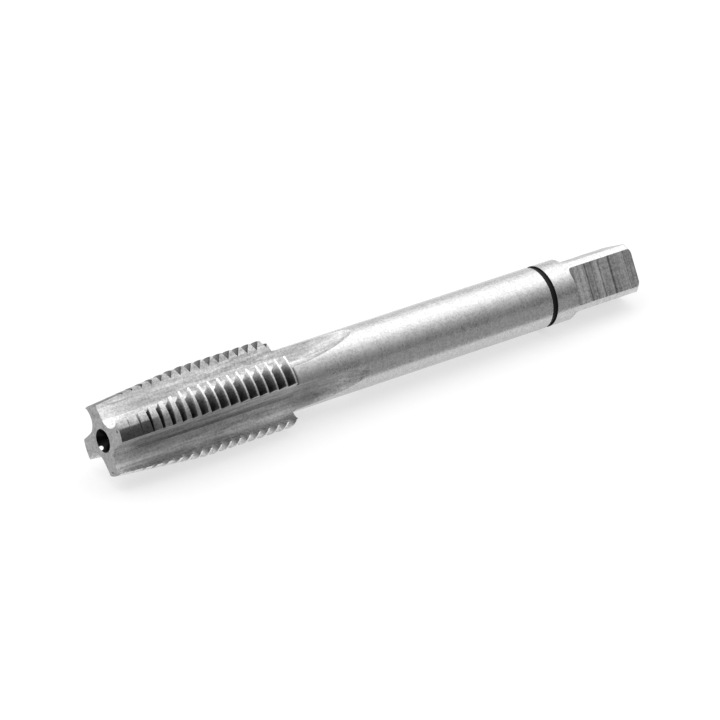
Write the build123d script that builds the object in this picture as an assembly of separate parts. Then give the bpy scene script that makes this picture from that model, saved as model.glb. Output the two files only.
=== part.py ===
from build123d import *
import os
from math import acos, asin, atan2, ceil, cos, degrees, hypot, radians, sin, tan

# Straight-fluted hand tap for an M10 x 1.25 right-hand thread, ground all over from one bar
# of high speed steel. It is drawn upright, cutting end down at z = 0 and square up, and laid
# on its side at the end. All lengths are in millimetres and all angles in degrees.

# Thread
thread_diameter = 10.0
thread_pitch = 1.25
thread_depth = 0.9
thread_flank_angle = 30.0
thread_length = 22.5
thread_end_chamfer = 0.3
thread_phase = 0.84

# Taper lead over the first threads, relieved behind each cutting edge
tip_diameter = 8.2
lead_angle = 5.2
relief_offset = 0.5

# Flutes, ground with a round-nosed wheel that leaves a core in the middle
flute_count = 4
core_diameter = 4.2
flute_nose_radius = 1.6
flute_hook_angle = 48.0
flute_heel_radius = 20.0
flute_heel_angle = 13.5
flute_wheel_radius = 33.0
flute_rise_before_end = 0.8

# Shank
overall_length = 70.0
shank_diameter = 7.0
shoulder_slope = 0.25
end_rounding = 0.4
ring_width = 0.7
ring_depth = 0.16
ring_from_end = 12.0

# Driving square
square_across_flats = 5.5
square_length = 8.4
square_wheel_radius = 0.5
square_turn = 5.5

# Centre holes
centre_mouth_diameter = 2.65
centre_pilot_diameter = 1.25
centre_cone_angle = 60.0
centre_pilot_depth = 2.7
drill_point_angle = 118.0

# How far the cutting tools reach past the steel
run_by = 1.0
groove_run_by = 0.05

thread_radius = thread_diameter / 2
shank_radius = shank_diameter / 2
flute_step = 360 / flute_count

# Flute section, in the grinding wheel's own frame: x runs outwards in the wheel's plane, and
# the cutting face is on the +y side. The nose arc runs into the heel's large arc.
nose_distance = core_diameter / 2 + flute_nose_radius
nose_x = nose_distance * cos(radians(flute_hook_angle))
nose_y = nose_distance * sin(radians(flute_hook_angle))
heel_centre_x = nose_x + (flute_heel_radius - flute_nose_radius) * sin(radians(flute_heel_angle))
heel_centre_y = nose_y + (flute_heel_radius - flute_nose_radius) * cos(radians(flute_heel_angle))


def angle_off_centre(distance, radius, reach):
    """Angle between an arc's centre and the point where the arc is at reach from the axis."""
    return degrees(acos((reach**2 + distance**2 - radius**2) / (2 * reach * distance)))


def cutting_edge_angle():
    """Where the cutting face meets the thread diameter: on the nose arc, or straight beyond it."""
    face_y = nose_y + flute_nose_radius
    if hypot(nose_x, face_y) < thread_radius:
        return degrees(asin(face_y / thread_radius))
    return flute_hook_angle + angle_off_centre(nose_distance, flute_nose_radius, thread_radius)


# Where the flute's two sides meet the thread diameter, as angles from the wheel's plane
edge_angle = cutting_edge_angle()
heel_centre_angle = degrees(atan2(heel_centre_y, heel_centre_x))
heel_centre_distance = hypot(heel_centre_x, heel_centre_y)
heel_angle = heel_centre_angle - angle_off_centre(
    heel_centre_distance, flute_heel_radius, thread_radius
)
gap_angle = edge_angle - heel_angle
gap_middle = (edge_angle + heel_angle) / 2
land_middle = gap_middle + flute_step / 2

# Each groove pass starts and ends inside the flutes, clear of the land's root on both sides
pass_start = edge_angle - 0.3 * gap_angle
pass_end = heel_angle + flute_step + 0.4 * gap_angle

# At rest on its side the tap bridges one flute with two lands, behind the lead, and touches
# the ground again with the near edge of one rounded corner at the end of the square
half_corner = degrees(asin(square_across_flats / shank_diameter)) - 45
past_corner = max(abs((gap_middle - square_turn) % 90 - 45) - half_corner, 0)
land_drop = thread_radius * cos(radians(gap_angle / 2))
corner_drop = shank_radius * cos(radians(past_corner))
contact_span = (overall_length - end_rounding) - (thread_length - thread_end_chamfer)
dip = degrees(atan2(land_drop - corner_drop, contact_span))


def blank():
    """Turned blank: thread diameter, sloped shoulder, shank, ring groove and rounded end."""
    ring_middle = overall_length - ring_from_end
    ring_low = ring_middle - ring_width / 2
    ring_high = ring_middle + ring_width / 2
    neck_start = thread_length + shoulder_slope
    rounding_start = overall_length - end_rounding
    with BuildSketch(Plane.XZ) as section:
        with BuildLine():
            CenterArc((shank_radius - end_rounding, rounding_start), end_rounding, 0, 90)
            Polyline(
                (shank_radius - end_rounding, overall_length),
                (0, overall_length),
                (0, 0),
                (thread_radius, 0),
                (thread_radius, thread_length - thread_end_chamfer),
                (thread_radius - thread_end_chamfer, thread_length),
                (shank_radius, neck_start),
                (shank_radius, ring_low),
                (shank_radius - ring_depth, ring_low),
                (shank_radius - ring_depth, ring_high),
                (shank_radius, ring_high),
                (shank_radius, rounding_start),
            )
        make_face()
    return revolve(section.sketch, Axis.Z)


def centre_hole():
    """Centre drill: countersink at z = 0, then a pilot with a drill point, going up."""
    mouth = centre_mouth_diameter / 2
    pilot = centre_pilot_diameter / 2
    cone_depth = (mouth - pilot) / tan(radians(centre_cone_angle / 2))
    point_depth = pilot / tan(radians(drill_point_angle / 2))
    with BuildSketch(Plane.XZ) as section:
        with BuildLine():
            Polyline(
                (0, -run_by),
                (mouth, -run_by),
                (mouth, 0),
                (pilot, cone_depth),
                (pilot, centre_pilot_depth),
                (0, centre_pilot_depth + point_depth),
                close=True,
            )
        make_face()
    return revolve(section.sketch, Axis.Z)


def flute_cutter():
    """One pass of the flute wheel: straight along the thread, then rising out of the shank."""
    core_share = core_diameter / 2 / nose_distance
    heel_start_x = nose_x - flute_nose_radius * sin(radians(flute_heel_angle))
    heel_start_y = nose_y - flute_nose_radius * cos(radians(flute_heel_angle))
    far_x = thread_radius + run_by
    far_turn = asin((far_x - heel_centre_x) / flute_heel_radius)
    halfway_turn = (far_turn - radians(flute_heel_angle)) / 2
    straight_end = thread_length - flute_rise_before_end
    with BuildSketch(Plane.XY.offset(-run_by)) as section:
        with BuildLine():
            ThreePointArc(
                (nose_x, nose_y + flute_nose_radius),
                (nose_x * core_share, nose_y * core_share),
                (heel_start_x, heel_start_y),
            )
            ThreePointArc(
                (heel_start_x, heel_start_y),
                (
                    heel_centre_x + flute_heel_radius * sin(halfway_turn),
                    heel_centre_y - flute_heel_radius * cos(halfway_turn),
                ),
                (far_x, heel_centre_y - flute_heel_radius * cos(far_turn)),
            )
            Polyline(
                (far_x, heel_centre_y - flute_heel_radius * cos(far_turn)),
                (far_x, nose_y + flute_nose_radius),
                (nose_x, nose_y + flute_nose_radius),
            )
        make_face()
    straight = extrude(section.sketch, amount=straight_end + run_by)
    wheel_centre_x = nose_x - flute_nose_radius + flute_wheel_radius
    wheel_axis = Axis((wheel_centre_x, 0, straight_end), (0, 1, 0))
    clear_of_shank = degrees(acos((wheel_centre_x - shank_radius - run_by) / flute_wheel_radius))
    run_out = revolve(Pos(0, 0, straight_end + run_by) * section.sketch, wheel_axis, clear_of_shank)
    return straight + run_out


def relief_cutter():
    """All that lies outside one land's eccentric lead cone, over that land's sector."""
    slope = tan(radians(lead_angle))
    low_radius = tip_diameter / 2 - run_by * slope
    full_radius = thread_radius + relief_offset + run_by
    height = (full_radius - low_radius) / slope
    cone = Cone(low_radius, full_radius, height, align=(Align.CENTER, Align.CENTER, Align.MIN))
    half = radians(flute_step / 2)
    reach = (full_radius + run_by) / cos(half)
    with BuildSketch(Plane.XY) as sector:
        with BuildLine():
            Polyline(
                (0, 0),
                (reach * cos(half), -reach * sin(half)),
                (reach * cos(half), reach * sin(half)),
                close=True,
            )
        make_face()
    return Pos(0, 0, -run_by) * (extrude(sector.sketch, amount=height) - Pos(0, -relief_offset, 0) * cone)


def groove_pass():
    """One pass of the V groove over one land, from flute to flute, starting on +x."""
    root_radius = thread_radius - thread_depth
    outer_radius = thread_radius + groove_run_by
    half_width = (outer_radius - root_radius) * tan(radians(thread_flank_angle))
    along_z_and_x = Plane(origin=(0, 0, 0), x_dir=(0, 0, 1), z_dir=(0, 1, 0))
    with BuildSketch(along_z_and_x) as groove:
        with BuildLine():
            Polyline(
                (0, root_radius),
                (half_width, outer_radius),
                (-half_width, outer_radius),
                close=True,
            )
        make_face()
    path = Helix(thread_pitch, thread_pitch * (pass_end - pass_start) / 360, root_radius)
    return sweep(groove.sketch, path=path, is_frenet=True)


def thread_passes():
    """Every pass of the right-hand thread, on every land, from the tip to the shoulder."""
    cutter = groove_pass()
    passes = []
    for land in range(flute_count):
        start_angle = pass_start + land * flute_step
        first_rise = (thread_phase + start_angle / 360) % 1 * thread_pitch
        for turn in range(ceil(thread_length / thread_pitch) + 1):
            rise = first_rise + turn * thread_pitch
            passes.append(Pos(0, 0, rise) * Rot(0, 0, start_angle) * cutter)
    return passes


def flat_cutter():
    """One flat of the square, with the wheel's hollow run-out, on the +x side."""
    flat_x = square_across_flats / 2
    flat_start = overall_length - square_length
    far_x = shank_radius + run_by
    with BuildSketch(Plane.XZ) as section:
        with Locations((flat_x + square_wheel_radius, flat_start)):
            Circle(square_wheel_radius)
        with Locations(((flat_x + far_x) / 2, flat_start + (square_length + run_by) / 2)):
            Rectangle(far_x - flat_x, square_length + run_by)
    return extrude(section.sketch, amount=shank_diameter, both=True)


def around(cutter, first_angle, count):
    """Copies of a cutter, evenly spaced about the tap's axis."""
    return [Rot(0, 0, first_angle + number * 360 / count) * cutter for number in range(count)]


def upright_tap():
    """The whole tap on the z axis, cutting end down."""
    tap = Rot(0, 0, gap_middle) * blank()
    tap -= around(flute_cutter(), 0, flute_count)
    tap -= around(relief_cutter(), land_middle, flute_count)
    tap -= thread_passes()
    tap -= around(flat_cutter(), square_turn, 4)
    tap -= centre_hole()
    tap -= Pos(0, 0, overall_length) * Rot(180, 0, 0) * centre_hole()
    return tap


def laid_down(tap):
    """The tap at rest on its side, cutting end towards -x, centred over the origin."""
    tap = Rot(0, 90 + dip, 0) * Rot(0, 0, 180 - gap_middle) * tap
    box = tap.bounding_box()
    return Pos(-box.center().X, -box.center().Y, -box.min.Z) * tap


tap = laid_down(upright_tap())
tap.label = "tap"
os.makedirs("parts", exist_ok=True)
export_step(tap, "parts/tap.step")
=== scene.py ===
import math

import bmesh
import bpy
import numpy as np
from mathutils import Matrix, Vector


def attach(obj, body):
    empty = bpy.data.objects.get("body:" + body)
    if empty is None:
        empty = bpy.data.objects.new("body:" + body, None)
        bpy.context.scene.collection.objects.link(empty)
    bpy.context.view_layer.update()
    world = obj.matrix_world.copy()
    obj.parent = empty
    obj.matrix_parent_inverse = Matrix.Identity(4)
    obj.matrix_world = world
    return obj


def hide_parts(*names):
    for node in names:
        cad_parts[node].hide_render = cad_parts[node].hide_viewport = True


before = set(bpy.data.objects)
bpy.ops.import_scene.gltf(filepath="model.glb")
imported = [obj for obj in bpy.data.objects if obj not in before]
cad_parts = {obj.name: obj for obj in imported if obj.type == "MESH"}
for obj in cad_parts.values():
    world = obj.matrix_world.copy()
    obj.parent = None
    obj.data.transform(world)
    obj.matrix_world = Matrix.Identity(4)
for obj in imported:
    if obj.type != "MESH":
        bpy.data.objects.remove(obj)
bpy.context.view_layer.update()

# ---------------------------------------------------------------- sizes

MM = 0.001

# The tap's own axes as it lies, with its thread on two lands and its square's end on the
# floor, so that it dips a little towards the square
TIP = Vector((-0.034986, 0.0, 0.004977))
ALONG = Vector((0.99976, 0.0, -0.021893))
ACROSS_X = Vector((0.018066, 0.564837, 0.825005))
ACROSS_Y = Vector((0.012366, -0.825202, 0.564702))
UP = (ACROSS_X.z, ACROSS_Y.z, 0.0)

# Sizes of the tap in its own frame, z along its axis, in millimetres and degrees
LENGTH = 70.0
THREAD_R = 5.0
THREAD_END = 22.5
PITCH = 1.25
PHASE = 0.84
ROOT_R = 4.1
FLANK_SLOPE = math.tan(math.radians(30))
SHANK_R = 3.5
RING_MIDDLE = 58.0
RING_WIDTH = 0.7
MOUTH_R = 1.325

# The square, its first flat turned a little from the tap's x, and the small wheel that cut it
SQUARE_TURN = 5.5
FLAT_DISTANCE = 2.75
FLAT_START = 61.6
FLAT_WHEEL_R = 0.5

# The flute's section, a tight nose arc and a long heel arc, and the wheel that ran it out
QUARTERS = 4
NOSE_X, NOSE_Y, NOSE_R = 2.47578, 2.74964, 1.6
HEEL_R = 20.0
HEEL_TILT = 13.5
HEEL_X = NOSE_X + (HEEL_R - NOSE_R) * math.sin(math.radians(HEEL_TILT))
HEEL_Y = NOSE_Y + (HEEL_R - NOSE_R) * math.cos(math.radians(HEEL_TILT))
WHEEL_R = 33.0
STRAIGHT_END = 21.7
CUTTING_EDGE = 60.45
HEEL_EDGE = 98.33

# How near a face's middle lies to a surface that it belongs to, in millimetres
NEAR = 0.01
END_NEAR = 0.02
WHEEL_NEAR = 0.03
FLUTE_NEAR = 0.035
FLANK_NEAR = 0.05

# Where flanks and flutes can be: how far past the thread's end, out from the axis, and along
# it. A crest is no deeper than its depth under the thread's radius.
SHOULDER_REACH = 0.4
FLANK_INNER_R = 3.9
FLUTE_INNER_R = 1.9
FLUTE_REACH = 35
CREST_DEPTH = 0.05

# How far a face looks along the axis, outwards, or straight out of a flat, from 0 to 1. It is
# at least this, and for a flute at most.
END_FACING = 0.9
FLANK_FACING = 0.4
FLUTE_FACING = 0.75
CREST_FACING = 0.9
FLAT_FACING = 0.98
HOLLOW_FACING = 0.3

# ---------------------------------------------------------------- tones of the finishes

# Every change of tone is four numbers: where it starts and ends, and its value at each.
# Along the tap the places are millimetres from the tip. Round a land they are shares of it,
# 0 at its cutting edge and 1 at its heel, and past 1 they are in the flute.

# Crests, with painted light brightest at the cutting edge, and painted shade over the heel on the lead
CREST_EDGE_PAINTED_LIGHT = (0.25, 0.8, 1.0, 0.6)
CREST_HEEL = (0.57, 0.63, 0.0, 1.0)
LEAD_FIRST = (3.6, 5.0, 1.0, 0.4)
LEAD_REST = (5.0, 7.0, 1.0, 0.0)
CREST_LEAD_PAINTED_SHADE = 0.28

# Thread flanks, with painted light at the cutting edge and painted shade towards the heel
FLANK_EDGE = (0.04, 0.52, 0.86, 0.3)
FLANK_HEEL = (0.55, 1.0, 1.0, 0.45)
# The lead's first shallow grooves are painted lighter, and the rest of the lead darker
FLANK_TIP_PAINTED_LIGHT = (2.0, 3.3, 1.6, 0.35)
FLANK_LEAD_PAINTED_SHADE = (4.0, 9.0, 0.35, 1.0)
# Painted light on the underside: dark at the cutting edge and light towards the heel
FLANK_UNDER = (0.15, 0.55, 0.06, 0.85)

# Painted light and shade along the flutes: a stretch, and the tones in the upper flutes and in the lower
# ones
FLUTE_TONES = (
    ((0.8, 4.0), (1.36, 1.0), (1.25, 1.0)),
    ((5.0, 20.5), (1.0, 1.37), (1.0, 1.12)),
    ((21.0, 25.0), (1.0, 0.71), (1.0, 0.62)),
    ((25.0, 31.0), (1.0, 1.1), (1.0, 2.1)),
)
# Painted shade on the flutes' cutting faces, left off near the tip and past the shoulder
CUTTING_FACE = (1.78, 2.2, 1.0, 0.56)
CUTTING_FACE_ENDS = ((2.0, 5.0, 1.0, 0.0), (21.5, 24.0, 0.0, 1.0))

# Heights over the axis between which the lower tones give way to the upper ones, and the
# flanks' tones to those of the underside. This painted light and shade goes by how the tap lies here.
UPPER_SIDE = (-0.5, 0.5)
UNDERSIDE = (-1.0, -3.0)

# The painted shade line in the shank's corner with the thread's shoulder, and how far out it goes
CORNER_LINE = (THREAD_END + 0.55, THREAD_END + 0.8, 0.12, 1.0)
CORNER_OUT = (SHANK_R + 0.02, SHANK_R + 0.1, 0.0, 1.0)

# Spots: the middle, the radius and the tone inside
# A painted highlight near the mouth of the centre hole
HOLE_PAINTED_HIGHLIGHT = (((-0.651, -1.088, 0.095), 0.31, 80.0),)
TIP_DARK_SPOTS = (
    ((3.75, 0.8, 0.0), 0.16, 0.4),
    ((0.37, 3.45, 0.0), 0.22, 0.35),
    ((-3.54, -0.2, 0.0), 0.16, 0.3),
)

# Deeper lines across the flats: the height, the width and how dark
FLAT_SCORES = ((63.45, 0.3, 0.5), (65.3, 0.16, 0.3), (66.75, 0.34, 0.6), (68.9, 0.2, 0.3))

# Cycles per millimetre of the lines: round the shank, along the flutes, across the flats
ROUND_CUT = (0.05, 0.05, 4.0)
LONG_CUT = (4.0, 4.0, 0.35)
CROSS_CUT = (0.03, 0.03, 3.5)
FACE_CUT = (2.5, 2.5, 2.5)

# All the steel: the rounding of its edges in millimetres, its lightest tone, and how much its
# lines, streaks, grain and patches change the roughness and the bump
EDGE_RADIUS = 0.03
BRIGHTEST = 0.95
STREAK_ROUGH, GRAIN_ROUGH, PATCH_ROUGH = 0.10, 0.06, 0.06
LINE_BUMP, GRAIN_BUMP = 0.7, 0.3

# The middle part of each noise, which is drawn out to the whole range of its mask
FINE_RANGE = (0.33, 0.67)
BROAD_RANGE = (0.3, 0.7)
GRAIN_RANGE = (0.38, 0.62)
PATCH_RANGE = (0.32, 0.68)

# Broad streaks change this much more slowly than fine lines. Noise is kept off its own even
# planes by the shift.
BROAD_SHARE = 0.31
NOISE_SHIFT = (0.37, 0.61, 0.43)

# Where the edge of a spot and of a scored line starts and ends, as shares of their size
SPOT_EDGE = (0.7, 1.0)
SCORE_EDGE = (0.2, 0.5)

# ---------------------------------------------------------------- sizes and tones of the studio

# Lengths are in metres, and the lens and its sensor in millimetres

FLOOR_HALF = 1.2
FLOOR_TONE = 0.38
FLOOR_GLOW = 0.62
FLOOR_ROUGHNESS = 0.9
TENT_R = 1.5
TENT_SIDES, TENT_RINGS = 64, 32

# Angle over the tap from the front horizon, in degrees, and the light from there
TENT_LIGHT = (
    (0, 0.2), (12, 0.22), (25, 0.3), (40, 0.5), (55, 0.72), (66, 1.05),
    (78, 1.5), (95, 1.8), (122, 1.7), (138, 1.1), (155, 0.85), (180, 0.75),
)

# Cards on the floor in front: low and high x, low and high y, and the tone
CARD_HEIGHT = 0.0001
CARDS = {
    "dark_card": (-0.25, -0.008, -0.3, -0.0075, 0.18),
    "grey_card": (-0.008, 0.25, -0.3, -0.0055, 0.38),
}

LENS = 300.2
SENSOR_WIDTH = 36.0
CLIP_START, CLIP_END = 0.01, 10.0
CAMERA_AZIMUTH = math.radians(-36.273)
CAMERA_ELEVATION = math.radians(28.564)
CAMERA_ROLL = math.radians(-0.241)
CAMERA_PLACE = Vector((-0.340279, -0.461965, 0.315672))

scene = bpy.context.scene
scene.view_settings.view_transform = "Standard"


# ---------------------------------------------------------------- shader groups


def add(tree, kind, links=None, **values):
    """A node with its properties set, and its inputs linked or filled by name or number."""
    node = tree.nodes.new(kind)
    for key, value in values.items():
        setattr(node, key, value)
    for key, value in (links or {}).items():
        socket = node.inputs[key]
        if isinstance(value, bpy.types.NodeSocket):
            tree.links.new(value, socket)
        else:
            socket.default_value = value
    return node


def math_node(tree, operation, a, b=0.0, clamp=False):
    links = {0: a, 1: b}
    return add(tree, "ShaderNodeMath", links, operation=operation, use_clamp=clamp).outputs[0]


def vector_node(tree, operation, a, b):
    node = add(tree, "ShaderNodeVectorMath", {0: a, 1: b}, operation=operation)
    return node.outputs["Value" if operation in ("DOT_PRODUCT", "DISTANCE") else "Vector"]


def remap(tree, value, low, high, to_low=0.0, to_high=1.0):
    """Clamped change of range."""
    links = {0: value, 1: low, 2: high, 3: to_low, 4: to_high}
    return add(tree, "ShaderNodeMapRange", links, clamp=True).outputs[0]


def axes_of(tree, place):
    return add(tree, "ShaderNodeSeparateXYZ", {0: place}).outputs


def noise(tree, place, scale, detail, roughness, offset=0.5):
    """Noise away from its own even planes, where it would fade out on a flat face."""
    place = vector_node(tree, "ADD", place, NOISE_SHIFT)
    links = {"Vector": place, "W": offset, "Scale": scale, "Detail": detail, "Roughness": roughness}
    return add(tree, "ShaderNodeTexNoise", links, noise_dimensions="4D").outputs[0]


def tap_place(tree):
    """Object coordinates turned into the tap's own frame, in millimetres, z along its axis."""
    place = add(tree, "ShaderNodeTexCoord").outputs["Object"]
    off = vector_node(tree, "SUBTRACT", place, TIP)
    axes = (ACROSS_X, ACROSS_Y, ALONG)
    parts = [vector_node(tree, "DOT_PRODUCT", off, axis / MM) for axis in axes]
    return add(tree, "ShaderNodeCombineXYZ", dict(enumerate(parts))).outputs[0]


def new_group(name, inputs, outputs):
    """A shader node group with named sockets: (name, type, default) and the names of its masks."""
    tree = bpy.data.node_groups.new(name, "ShaderNodeTree")
    for label, kind, default in inputs:
        socket = tree.interface.new_socket(label, in_out="INPUT", socket_type=kind)
        socket.default_value = default
    for label in outputs:
        tree.interface.new_socket(label, in_out="OUTPUT", socket_type="NodeSocketFloat")
    given = tree.nodes.new("NodeGroupInput").outputs
    return tree, given, tree.nodes.new("NodeGroupOutput").inputs


def grinding_group():
    """Grinding lines: noise drawn out along the cut. Stretch is in cycles per millimetre."""
    tree, given, out = new_group(
        "grinding lines",
        [("Stretch", "NodeSocketVector", (1.0, 1.0, 1.0)), ("Offset", "NodeSocketFloat", 0.0)],
        ["Height", "Streak"],
    )
    fine_place = vector_node(tree, "MULTIPLY", tap_place(tree), given["Stretch"])
    broad_place = vector_node(tree, "MULTIPLY", fine_place, (BROAD_SHARE, BROAD_SHARE, BROAD_SHARE))
    fine = noise(tree, fine_place, 1.0, 4.0, 0.65, given["Offset"])
    broad = noise(tree, broad_place, 1.0, 2.0, 0.55, given["Offset"])
    tree.links.new(remap(tree, fine, *FINE_RANGE), out["Height"])
    tree.links.new(remap(tree, broad, *BROAD_RANGE), out["Streak"])
    return tree


def mottle_group():
    """What a fine wheel and handling leave: a close grain and broad soft patches."""
    tree, given, out = new_group(
        "mottle",
        [("Grain Scale", "NodeSocketFloat", 5.0), ("Patch Scale", "NodeSocketFloat", 0.35)],
        ["Grain", "Patch"],
    )
    place = tap_place(tree)
    grain = noise(tree, place, given["Grain Scale"], 2.0, 0.6)
    patch = noise(tree, place, given["Patch Scale"], 3.0, 0.6, 4.5)
    tree.links.new(remap(tree, grain, *GRAIN_RANGE), out["Grain"])
    tree.links.new(remap(tree, patch, *PATCH_RANGE), out["Patch"])
    return tree


def spot_group():
    """A small round mark: 1 at its middle, 0 outside its radius, in millimetres."""
    tree, given, out = new_group(
        "spot",
        [("Middle", "NodeSocketVector", (0.0, 0.0, 0.0)), ("Radius", "NodeSocketFloat", 0.3)],
        ["Mask"],
    )
    away = vector_node(tree, "DISTANCE", tap_place(tree), given["Middle"])
    share = math_node(tree, "DIVIDE", away, given["Radius"])
    tree.links.new(remap(tree, share, *SPOT_EDGE, 1.0, 0.0), out["Mask"])
    return tree


def score_group():
    """A line scored right round the axis at one height: 1 in the line, 0 outside its width."""
    tree, given, out = new_group(
        "score",
        [("Height", "NodeSocketFloat", 0.0), ("Width", "NodeSocketFloat", 0.1)],
        ["Mask"],
    )
    height = axes_of(tree, tap_place(tree))["Z"]
    away = math_node(tree, "ABSOLUTE", math_node(tree, "SUBTRACT", height, given["Height"]))
    share = math_node(tree, "DIVIDE", away, given["Width"])
    tree.links.new(remap(tree, share, *SCORE_EDGE, 1.0, 0.0), out["Mask"])
    return tree


GRINDING = grinding_group()
MOTTLE = mottle_group()
SPOT = spot_group()
SCORE = score_group()


def use_group(tree, group, values):
    node = tree.nodes.new("ShaderNodeGroup")
    node.node_tree = group
    for key, value in values.items():
        node.inputs[key].default_value = value
    return node.outputs


# ---------------------------------------------------------------- finishes


def weighted(tree, base, terms):
    """base plus each mask, from 0 to 1 about its middle, by its weight."""
    total = base
    for mask, weight in terms:
        links = {0: mask, 1: weight, 2: -weight / 2}
        shift = add(tree, "ShaderNodeMath", links, operation="MULTIPLY_ADD")
        total = math_node(tree, "ADD", total, shift.outputs[0])
    return total


def land_share(tree, axes):
    """How far round a land a point is: 0 at its cutting edge, 1 at its heel."""
    angle = math_node(tree, "ARCTAN2", axes["Y"], axes["X"])
    from_edge = math_node(tree, "SUBTRACT", angle, math.radians(CUTTING_EDGE))
    quarter = {0: from_edge, 1: 0.0, 2: math.pi / 2}
    round_land = add(tree, "ShaderNodeMath", quarter, operation="WRAP").outputs[0]
    return math_node(tree, "DIVIDE", round_land, math.radians(HEEL_EDGE - CUTTING_EDGE))


def facing_up(tree, place, low, high):
    """0 to 1 from one height over the axis to another, in millimetres."""
    return remap(tree, vector_node(tree, "DOT_PRODUCT", place, UP), low, high)


def mixed(tree, share, first, second):
    """From the first value to the second by their share."""
    links = {0: share, 2: first, 3: second}
    return add(tree, "ShaderNodeMix", links, data_type="FLOAT").outputs[0]


def crest_painted_light_and_shade(tree):
    """Painted light and shade on the crests: brightest at the cutting edge, painted darker over the heel
    on the lead.
    """
    axes = axes_of(tree, tap_place(tree))
    share = land_share(tree, axes)
    edge_painted_light = remap(tree, share, *CREST_EDGE_PAINTED_LIGHT)
    heel = remap(tree, share, *CREST_HEEL)
    first_threads = remap(tree, axes["Z"], *LEAD_FIRST)
    on_lead = math_node(tree, "MULTIPLY", first_threads, remap(tree, axes["Z"], *LEAD_REST))
    lead_heel_painted_shade = math_node(tree, "MULTIPLY", heel, on_lead)
    kept = remap(tree, lead_heel_painted_shade, 0.0, 1.0, 1.0, CREST_LEAD_PAINTED_SHADE)
    return math_node(tree, "MULTIPLY", edge_painted_light, kept)


def flank_painted_light_and_shade(tree):
    """Painted light and shade on the thread flanks: light at the cutting edge and painted dark towards
    the heel. On the underside it is the other way round."""
    place = tap_place(tree)
    axes = axes_of(tree, place)
    share = land_share(tree, axes)
    upper = math_node(tree, "MULTIPLY", remap(tree, share, *FLANK_EDGE), remap(tree, share, *FLANK_HEEL))
    tip_painted_light = remap(tree, axes["Z"], *FLANK_TIP_PAINTED_LIGHT)
    lead_painted_shade = remap(tree, axes["Z"], *FLANK_LEAD_PAINTED_SHADE)
    upper = math_node(tree, "MULTIPLY", upper, math_node(tree, "MAXIMUM", tip_painted_light, lead_painted_shade))
    under = remap(tree, share, *FLANK_UNDER)
    return mixed(tree, facing_up(tree, place, *UNDERSIDE), upper, under)


def flute_painted_light_and_shade(tree):
    """Painted light and shade on the flutes: painted highlights at the tip and by the shoulder, lighter
    on the upper flutes, and painted shade on their cutting faces and where they start to run out."""
    place = tap_place(tree)
    axes = axes_of(tree, place)
    height = axes["Z"]
    upper = lower = 1.0
    for stretch, upper_tones, lower_tones in FLUTE_TONES:
        upper = math_node(tree, "MULTIPLY", upper, remap(tree, height, *stretch, *upper_tones))
        lower = math_node(tree, "MULTIPLY", lower, remap(tree, height, *stretch, *lower_tones))
    tone = mixed(tree, facing_up(tree, place, *UPPER_SIDE), lower, upper)
    cutting_face = remap(tree, land_share(tree, axes), *CUTTING_FACE)
    for change in CUTTING_FACE_ENDS:
        cutting_face = math_node(tree, "MAXIMUM", cutting_face, remap(tree, height, *change))
    return math_node(tree, "MULTIPLY", tone, cutting_face)


def corner_painted_shade(tree):
    """Painted shade: a dark line on the shank, in its corner with the thread's shoulder."""
    place = tap_place(tree)
    flat_place = vector_node(tree, "MULTIPLY", place, (1.0, 1.0, 0.0))
    radius = vector_node(tree, "DISTANCE", flat_place, (0.0, 0.0, 0.0))
    past_corner = remap(tree, axes_of(tree, place)["Z"], *CORNER_LINE)
    return math_node(tree, "MAXIMUM", past_corner, remap(tree, radius, *CORNER_OUT))


def toned(tree, tone, mask, inside):
    """The tone, times the one inside where the mask is 1."""
    return math_node(tree, "MULTIPLY", remap(tree, mask, 0.0, 1.0, 1.0, inside), tone)


def with_spots(tree, spots):
    tone = 1.0
    for middle, radius, inside in spots:
        mask = use_group(tree, SPOT, {"Middle": middle, "Radius": radius})["Mask"]
        tone = toned(tree, tone, mask, inside)
    return tone


def hole_painted_highlight(tree):
    """A painted highlight: a bright patch near the mouth of the centre hole."""
    return with_spots(tree, HOLE_PAINTED_HIGHLIGHT)


def tip_dark_spots(tree):
    """Small dark spots at the corners of the tip face."""
    return with_spots(tree, TIP_DARK_SPOTS)


def flat_scores(tree):
    """The deeper lines that the wheel scored across the flats."""
    tone = 1.0
    for height, width, depth in FLAT_SCORES:
        mask = use_group(tree, SCORE, {"Height": height, "Width": width})["Mask"]
        tone = toned(tree, tone, mask, 1 - depth)
    return tone


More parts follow.
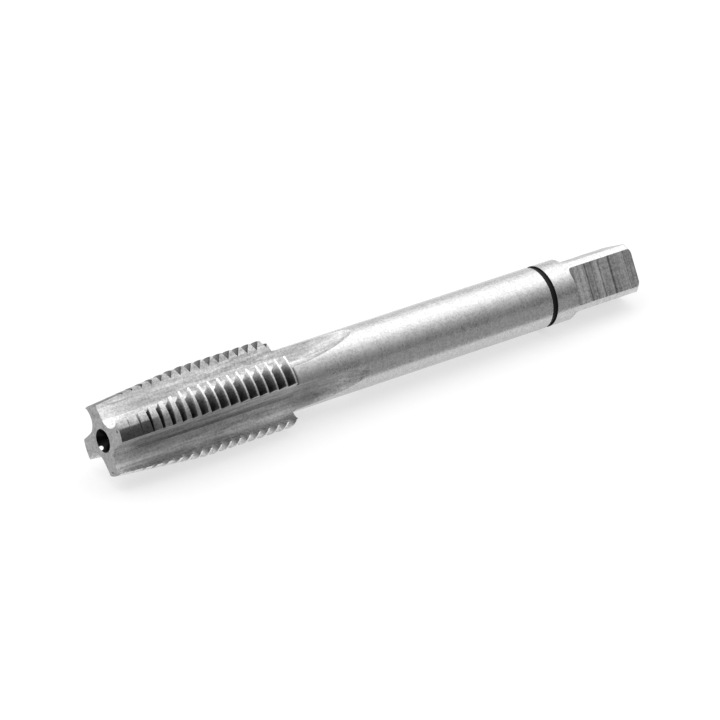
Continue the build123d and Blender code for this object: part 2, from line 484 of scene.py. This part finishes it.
def steel(name, tone, roughness, cut, line=0.1, grain=0.06, patch=0.05, line_bump=0.25,
          bump_mm=0.01, metallic=1.0, gloss=0.5, offset=0.5, shade=None):
    """Ground steel: its tone, and how strongly the lines, the grain and the patches show in it."""
    material = bpy.data.materials.new(name)
    material.use_nodes = True
    tree = material.node_tree
    shader = tree.nodes["Principled BSDF"]
    lines = use_group(tree, GRINDING, {"Stretch": cut, "Offset": offset})
    marks = use_group(tree, MOTTLE, {})
    in_tone = [
        (lines["Height"], line),
        (lines["Streak"], line),
        (marks["Grain"], grain),
        (marks["Patch"], patch),
    ]
    in_roughness = [
        (lines["Streak"], STREAK_ROUGH),
        (marks["Grain"], GRAIN_ROUGH),
        (marks["Patch"], PATCH_ROUGH),
    ]
    in_height = [(lines["Height"], LINE_BUMP), (marks["Grain"], GRAIN_BUMP)]
    value = weighted(tree, 1.0, in_tone)
    # The shade is either the steel's own marks or painted light and shade, depending on the finish
    if shade:
        value = math_node(tree, "MULTIPLY", value, shade(tree))
    value = math_node(tree, "MINIMUM", math_node(tree, "MULTIPLY", value, tone), BRIGHTEST)
    colour = add(tree, "ShaderNodeCombineColor", {0: value, 1: value, 2: value}).outputs[0]
    tree.links.new(colour, shader.inputs["Base Color"])
    tree.links.new(weighted(tree, roughness, in_roughness), shader.inputs["Roughness"])
    shader.inputs["Metallic"].default_value = metallic
    shader.inputs["Specular IOR Level"].default_value = gloss
    rounded = add(tree, "ShaderNodeBevel", {"Radius": EDGE_RADIUS * MM}, samples=4).outputs[0]
    height = weighted(tree, 0.5, in_height)
    bump = {"Strength": line_bump, "Distance": bump_mm * MM, "Height": height, "Normal": rounded}
    tree.links.new(add(tree, "ShaderNodeBump", bump).outputs[0], shader.inputs["Normal"])
    return material


LOOKS = [
    steel("ground shank", 0.62, 0.30, ROUND_CUT, line=0.08, grain=0.28, patch=0.06,
          line_bump=0.15, shade=corner_painted_shade),
    steel("flute", 0.56, 0.56, LONG_CUT, line=0.5, grain=0.36, patch=0.2,
          line_bump=0.3, offset=3.5, shade=flute_painted_light_and_shade),
    steel("thread flank", 0.80, 0.34, ROUND_CUT, line=0.1, grain=0.5,
          line_bump=0.2, offset=5.5, shade=flank_painted_light_and_shade),
    steel("thread crest", 0.92, 0.34, ROUND_CUT, line=0.08, grain=0.4,
          offset=7.5, shade=crest_painted_light_and_shade),
    steel("ring blacking", 0.012, 0.5, ROUND_CUT, line=0.1,
          metallic=0.0, gloss=0.15, offset=9.5),
    steel("square flat", 0.55, 0.42, CROSS_CUT, line=0.6, grain=0.45,
          line_bump=0.4, offset=11.5, shade=flat_scores),
    steel("tip face", 0.36, 0.5, FACE_CUT, line=0.3, grain=0.4,
          offset=13.5, shade=tip_dark_spots),
    steel("square end face", 0.5, 0.45, FACE_CUT, line=0.3, grain=0.4,
          offset=15.5),
    # The centre hole's near-black tone is painted shade in its recess
    steel("centre hole", 0.01, 0.3, ROUND_CUT, line=0.04,
          line_bump=0.1, offset=17.5, shade=hole_painted_highlight),
]
SHANK, FLUTE, FLANK, CREST, RING, FLAT, TIP_FACE, END_FACE, CENTRE = range(len(LOOKS))


# ---------------------------------------------------------------- the tap


def in_tap_frame(points):
    """Points in metres as the tap's own x, y and z in millimetres."""
    axes = np.array([ACROSS_X, ACROSS_Y, ALONG])
    return (points - np.array(TIP)) @ axes.T / MM


def turned_back(x, y, angle):
    """x and y in a frame turned by the angle about the axis."""
    return (
        x * math.cos(angle) + y * math.sin(angle),
        y * math.cos(angle) - x * math.sin(angle),
    )


def flute_miss(x, y, z):
    """How far a point is from the nearest flute's ground surface."""
    best = np.full(len(x), np.inf)
    wheel_x = NOSE_X - NOSE_R + WHEEL_R
    for turn in range(QUARTERS):
        px, py = turned_back(x, y, math.radians(90 * turn))
        risen = wheel_x - np.hypot(wheel_x - px, z - STRAIGHT_END)
        px = np.where(z > STRAIGHT_END, risen, px)
        nose = np.abs(np.hypot(px - NOSE_X, py - NOSE_Y) - NOSE_R)
        heel = np.abs(np.hypot(px - HEEL_X, py - HEEL_Y) - HEEL_R)
        best = np.minimum(best, np.minimum(nose, np.where(px > 0, heel, np.inf)))
    return best


def zones(centres, normals):
    """The finish of each face, from where it is and which way it faces, in the tap's frame."""
    x, y, z = centres.T
    along = normals[:, 2]
    radius = np.hypot(x, y)
    outward = (normals[:, 0] * x + normals[:, 1] * y) / np.maximum(radius, 1e-6)
    out = np.full(len(x), SHANK)
    out[z < THREAD_END + NEAR] = CREST
    turns = (z / PITCH - PHASE - np.degrees(np.arctan2(y, x)) / 360) % 1
    off_groove = np.minimum(turns, 1 - turns) * PITCH
    on_flank = np.abs(off_groove - (radius - ROOT_R) * FLANK_SLOPE) < FLANK_NEAR
    on_flank &= (z < THREAD_END + SHOULDER_REACH) & (radius > FLANK_INNER_R)
    out[on_flank & (np.abs(along) > FLANK_FACING)] = FLANK
    in_ring = np.abs(z - RING_MIDDLE) < RING_WIDTH / 2 + NEAR
    out[in_ring & (radius < SHANK_R - END_NEAR)] = RING
    for turn in range(QUARTERS):
        angle = math.radians(SQUARE_TURN + 90 * turn)
        px, _ = turned_back(x, y, angle)
        facing, _ = turned_back(normals[:, 0], normals[:, 1], angle)
        wheel = np.hypot(px - FLAT_DISTANCE - FLAT_WHEEL_R, z - FLAT_START)
        hollow = (z < FLAT_START) & (np.abs(wheel - FLAT_WHEEL_R) < WHEEL_NEAR) & (px < SHANK_R)
        flat = (z > FLAT_START - FLAT_WHEEL_R) & (np.abs(px - FLAT_DISTANCE) < NEAR)
        out[(hollow & (facing > HOLLOW_FACING)) | (flat & (facing > FLAT_FACING))] = FLAT
    on_flute = (flute_miss(x, y, z) < FLUTE_NEAR) & (np.abs(along) < FLUTE_FACING)
    on_flute &= (z < FLUTE_REACH) & (radius > FLUTE_INNER_R) & (out != FLANK)
    off_crest = (radius < THREAD_R - CREST_DEPTH) | (outward < CREST_FACING)
    out[on_flute & off_crest] = FLUTE
    out[(along < -END_FACING) & (z < END_NEAR)] = TIP_FACE
    out[(along > END_FACING) & (z > LENGTH - END_NEAR)] = END_FACE
    out[(radius < MOUTH_R) & (np.minimum(z, LENGTH - z) > END_NEAR)] = CENTRE
    return out


def finished_tap():
    """A copy of the CAD solid's surface, in one piece, with a finish on every face."""
    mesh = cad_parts["tap"].data.copy()
    mesh.name = "tap_steel"
    mesh.materials.clear()
    for look in LOOKS:
        mesh.materials.append(look)
    centres = np.zeros(len(mesh.polygons) * 3)
    normals = np.zeros(len(mesh.polygons) * 3)
    mesh.polygons.foreach_get("center", centres)
    mesh.polygons.foreach_get("normal", normals)
    turned = normals.reshape(-1, 3) @ np.array([ACROSS_X, ACROSS_Y, ALONG]).T
    found = zones(in_tap_frame(centres.reshape(-1, 3)), turned)
    mesh.polygons.foreach_set("material_index", found.astype(np.int32))
    tap = bpy.data.objects.new("tap_steel", mesh)
    scene.collection.objects.link(tap)
    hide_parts("tap")
    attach(tap, "root")


finished_tap()


# ---------------------------------------------------------------- studio


def stage_mesh(name, mesh, material):
    mesh.materials.append(material)
    thing = bpy.data.objects.new(name, mesh)
    scene.collection.objects.link(thing)
    return thing


def level_sheet(name, low_x, high_x, low_y, high_y, height):
    mesh = bpy.data.meshes.new(name)
    corners = [(low_x, low_y), (high_x, low_y), (high_x, high_y), (low_x, high_y)]
    mesh.from_pydata([(x, y, height) for x, y in corners], [], [(0, 1, 2, 3)])
    return mesh


def bare_material(name):
    """A material with nothing in its tree yet, whose glow is met by chance and not aimed at."""
    material = bpy.data.materials.new(name)
    material.use_nodes = True
    material.node_tree.nodes.clear()
    material.cycles.emission_sampling = "NONE"
    return material


def glow(tree, colour, strength):
    light = add(tree, "ShaderNodeEmission", {"Color": colour, "Strength": strength})
    add(tree, "ShaderNodeOutputMaterial", {0: light.outputs[0]})


def backdrop():
    """The plain white of the room."""
    world = bpy.data.worlds.new("backdrop")
    scene.world = world
    world.use_nodes = True
    background = world.node_tree.nodes["Background"]
    background.inputs["Color"].default_value = (1, 1, 1, 1)
    background.inputs["Strength"].default_value = 1.0
    world.cycles.sampling_method = "NONE"


def light_tent():
    """A round tent of soft light, bright overhead and behind and dim in front. The camera
    sees through it."""
    shape = bmesh.new()
    bmesh.ops.create_uvsphere(shape, u_segments=TENT_SIDES, v_segments=TENT_RINGS, radius=TENT_R)
    mesh = bpy.data.meshes.new("light tent")
    shape.to_mesh(mesh)
    shape.free()
    material = bare_material("tent light")
    tree = material.node_tree
    axes = axes_of(tree, add(tree, "ShaderNodeTexCoord").outputs["Object"])
    front = math_node(tree, "MULTIPLY", axes["Y"], -1.0)
    angle = math_node(tree, "ARCTAN2", axes["Z"], front)
    share = math_node(tree, "DIVIDE", angle, math.pi, clamp=True)
    ramp = add(tree, "ShaderNodeValToRGB", {0: share})
    elements = ramp.color_ramp.elements
    while len(elements) < len(TENT_LIGHT):
        elements.new(0.5)
    brightest = max(light for _, light in TENT_LIGHT)
    for element, (degrees, light) in zip(elements, TENT_LIGHT):
        element.position = degrees / 180
        element.color = [light / brightest] * 3 + [1]
    glow(tree, ramp.outputs[0], brightest)
    tent = stage_mesh("light_tent", mesh, material)
    tent.visible_camera = False


def floor():
    """A pale floor. Part of its white is its own, so that the steel shows it too and its shadow
    stays soft."""
    material = bpy.data.materials.new("pale floor")
    material.use_nodes = True
    tree = material.node_tree
    shader = tree.nodes["Principled BSDF"]
    shader.inputs["Base Color"].default_value = (FLOOR_TONE, FLOOR_TONE, FLOOR_TONE, 1)
    shader.inputs["Roughness"].default_value = FLOOR_ROUGHNESS
    shader.inputs["Specular IOR Level"].default_value = 0.0
    path = add(tree, "ShaderNodeLightPath").outputs
    seen = math_node(tree, "MAXIMUM", path["Is Camera Ray"], path["Is Glossy Ray"])
    seen = math_node(tree, "MAXIMUM", seen, path["Is Transmission Ray"])
    shader.inputs["Emission Color"].default_value = (1, 1, 1, 1)
    tree.links.new(math_node(tree, "MULTIPLY", seen, FLOOR_GLOW), shader.inputs["Emission Strength"])
    ground = level_sheet("floor", -FLOOR_HALF, FLOOR_HALF, -FLOOR_HALF, FLOOR_HALF, 0.0)
    stage_mesh("floor", ground, material)


def mirrored_card(name, low_x, high_x, low_y, high_y, tone):
    """A card laid in front of the tap, that only its mirror image in the steel shows."""
    material = bare_material(name)
    glow(material.node_tree, (tone, tone, tone, 1), 1.0)
    card = stage_mesh(name, level_sheet(name, low_x, high_x, low_y, high_y, CARD_HEIGHT), material)
    for kind in ("camera", "diffuse", "transmission", "volume_scatter", "shadow"):
        setattr(card, "visible_" + kind, False)


def camera():
    """A long lens at a distance, looking down on the tap from the cutting end's side."""
    data = bpy.data.cameras.new("camera")
    data.lens = LENS
    data.sensor_width = SENSOR_WIDTH
    data.clip_start = CLIP_START
    data.clip_end = CLIP_END
    eye = bpy.data.objects.new("camera", data)
    back = Vector((
        math.sin(CAMERA_AZIMUTH) * math.cos(CAMERA_ELEVATION),
        -math.cos(CAMERA_AZIMUTH) * math.cos(CAMERA_ELEVATION),
        math.sin(CAMERA_ELEVATION),
    ))
    right = Vector((0, 0, 1)).cross(back).normalized()
    up = back.cross(right)
    turned_right = right * math.cos(CAMERA_ROLL) + up * math.sin(CAMERA_ROLL)
    turned_up = up * math.cos(CAMERA_ROLL) - right * math.sin(CAMERA_ROLL)
    basis = Matrix((turned_right, turned_up, back)).transposed().to_4x4()
    basis.translation = CAMERA_PLACE
    eye.matrix_world = basis
    scene.collection.objects.link(eye)
    scene.camera = eye


backdrop()
light_tent()
floor()
for card_name, card_facts in CARDS.items():
    mirrored_card(card_name, *card_facts)
camera()
